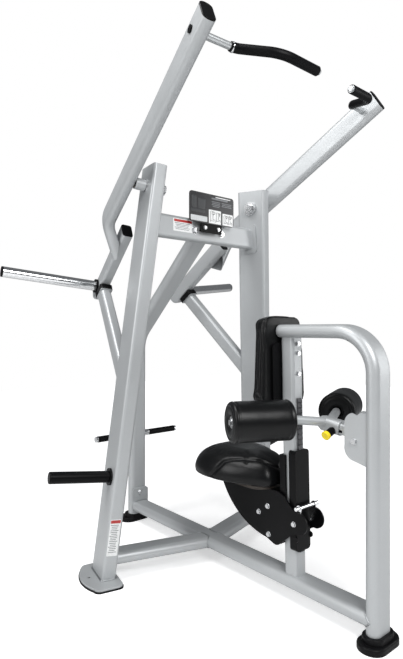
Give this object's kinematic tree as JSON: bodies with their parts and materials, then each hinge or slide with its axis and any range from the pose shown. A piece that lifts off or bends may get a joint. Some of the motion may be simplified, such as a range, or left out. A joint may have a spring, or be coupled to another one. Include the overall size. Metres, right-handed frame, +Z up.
{
  "type": "lat pulldown machine",
  "caption": "Plate-loaded lat pulldown machine: two pivoting arms with angled grips and weight sleeves on a tubular frame, ratchet seat, chest pad and knee rollers.",
  "frame": {"origin": "middle of the machine's floor rectangle, on the floor", "axes": "+X across to the right, +Y from the front post back to the rear spine, +Z up"},
  "size_m": [1.459, 1.586, 2.0854],
  "materials": {
    "frame_paint": "fine metallic silver powder coat, satin",
    "handle_steel": "silver powder coat, satin",
    "chrome": "polished chrome plate",
    "black_plastic": "moulded black plastic, fine texture",
    "boot_rubber": "moulded black rubber",
    "grip_rubber": "soft black rubber sleeve",
    "black_steel": "black powder coat, satin",
    "rack_steel": "blackened steel",
    "vinyl": "upholstery vinyl over foam, soft sheen",
    "seat_board": "black stained plywood",
    "placard_face": "printed laminate with plain pictograms",
    "zinc": "bright zinc plate",
    "bronze": "sintered bronze",
    "yellow_knob": "moulded yellow plastic"
  },
  "bodies": {
    "frame": {"front_post_arch": "frame_paint", "base_rail": "frame_paint", "side_rail_left": "frame_paint", "side_rail_right": "frame_paint", "rear_spine": "frame_paint", "upright_left": "frame_paint", "upright_right": "frame_paint", "crossbeam": "frame_paint", "crossbeam_plates": "frame_paint", "stay_left": "frame_paint", "stay_right": "frame_paint", "foot_plates": "frame_paint", "seat_post": "frame_paint", "knee_bracket": "frame_paint", "knee_bar": "frame_paint", "spine_bracket": "frame_paint", "rear_pegs": "chrome", "storage_pegs": "black_plastic", "front_boot": "boot_rubber", "rear_foot": "boot_rubber", "foot_pads": "boot_rubber", "bumpers": "boot_rubber", "rear_peg_sleeves": "grip_rubber", "placard_bracket": "black_steel", "chest_pad_board": "black_steel", "seat_rack": "rack_steel", "chest_pad": "vinyl", "placard": "placard_face", "frame_bolts": "zinc", "pivot_shafts": "zinc"},
    "arm_left": {"arm_tube_left": "frame_paint", "weight_arm_left": "frame_paint", "end_caps_left": "black_plastic", "hub_left": "frame_paint", "hub_bearings_left": "bronze", "sleeve_left": "chrome", "sleeve_collars_left": "black_plastic", "handle_left": "handle_steel", "grip_left": "grip_rubber"},
    "arm_right": {"arm_tube_right": "frame_paint", "weight_arm_right": "frame_paint", "end_caps_right": "black_plastic", "hub_right": "frame_paint", "hub_bearings_right": "bronze", "sleeve_right": "chrome", "sleeve_collars_right": "black_plastic", "handle_right": "handle_steel", "grip_right": "grip_rubber"},
    "seat": {"seat_carriage": "black_steel", "seat_side_plates": "black_steel", "carriage_bolts": "zinc", "seat_board": "seat_board", "seat_cushion": "vinyl"},
    "seat_lever": {"seat_lever": "chrome"},
    "knee_carrier": {"knee_fork": "frame_paint", "roller_bolts": "zinc", "pin_barrel": "black_plastic"},
    "roller_left": {"roller_left": "vinyl"},
    "roller_right": {"roller_right": "vinyl"},
    "pin_knob": {"pin_knob": "yellow_knob"}
  },
  "joints": [
    {"name": "arm_left_swing", "type": "hinge", "parent": "frame", "child": "arm_left", "pos_m": [-0.247, 0.112, 1.634], "axis": [0.9721, -0.2066, -0.1115], "range_deg": [0, 60]},
    {"name": "arm_right_swing", "type": "hinge", "parent": "frame", "child": "arm_right", "pos_m": [0.247, 0.112, 1.634], "axis": [0.9721, 0.2066, 0.1115], "range_deg": [0, 60]},
    {"name": "seat_height", "type": "slide", "parent": "frame", "child": "seat", "axis": [0, 0.0222, 0.9998], "range_m": [-0.08, 0.08]},
    {"name": "seat_lever_pull", "type": "hinge", "parent": "seat", "child": "seat_lever", "pos_m": [0, -0.431, 0.318], "axis": [1, 0, 0], "range_deg": [0, 8], "stiffness_Nm_per_rad": 1.5, "springref_deg": -22.92},
    {"name": "knee_pad_reach", "type": "slide", "parent": "frame", "child": "knee_carrier", "axis": [0, 0.9928, 0.1198], "range_m": [-0.03, 0]},
    {"name": "roller_left_spin", "type": "hinge", "parent": "knee_carrier", "child": "roller_left", "pos_m": [-0.136, -0.484, 0.723], "axis": [-0.9015, 0.4329, 0], "continuous": true},
    {"name": "roller_right_spin", "type": "hinge", "parent": "knee_carrier", "child": "roller_right", "pos_m": [0.136, -0.484, 0.723], "axis": [0.9015, 0.4329, 0], "continuous": true},
    {"name": "pin_pull", "type": "slide", "parent": "knee_carrier", "child": "pin_knob", "axis": [-0.9318, 0.0435, -0.3604], "range_m": [0, 0.01], "stiffness_N_per_m": 400, "springref_m": -0.02}
  ]
}
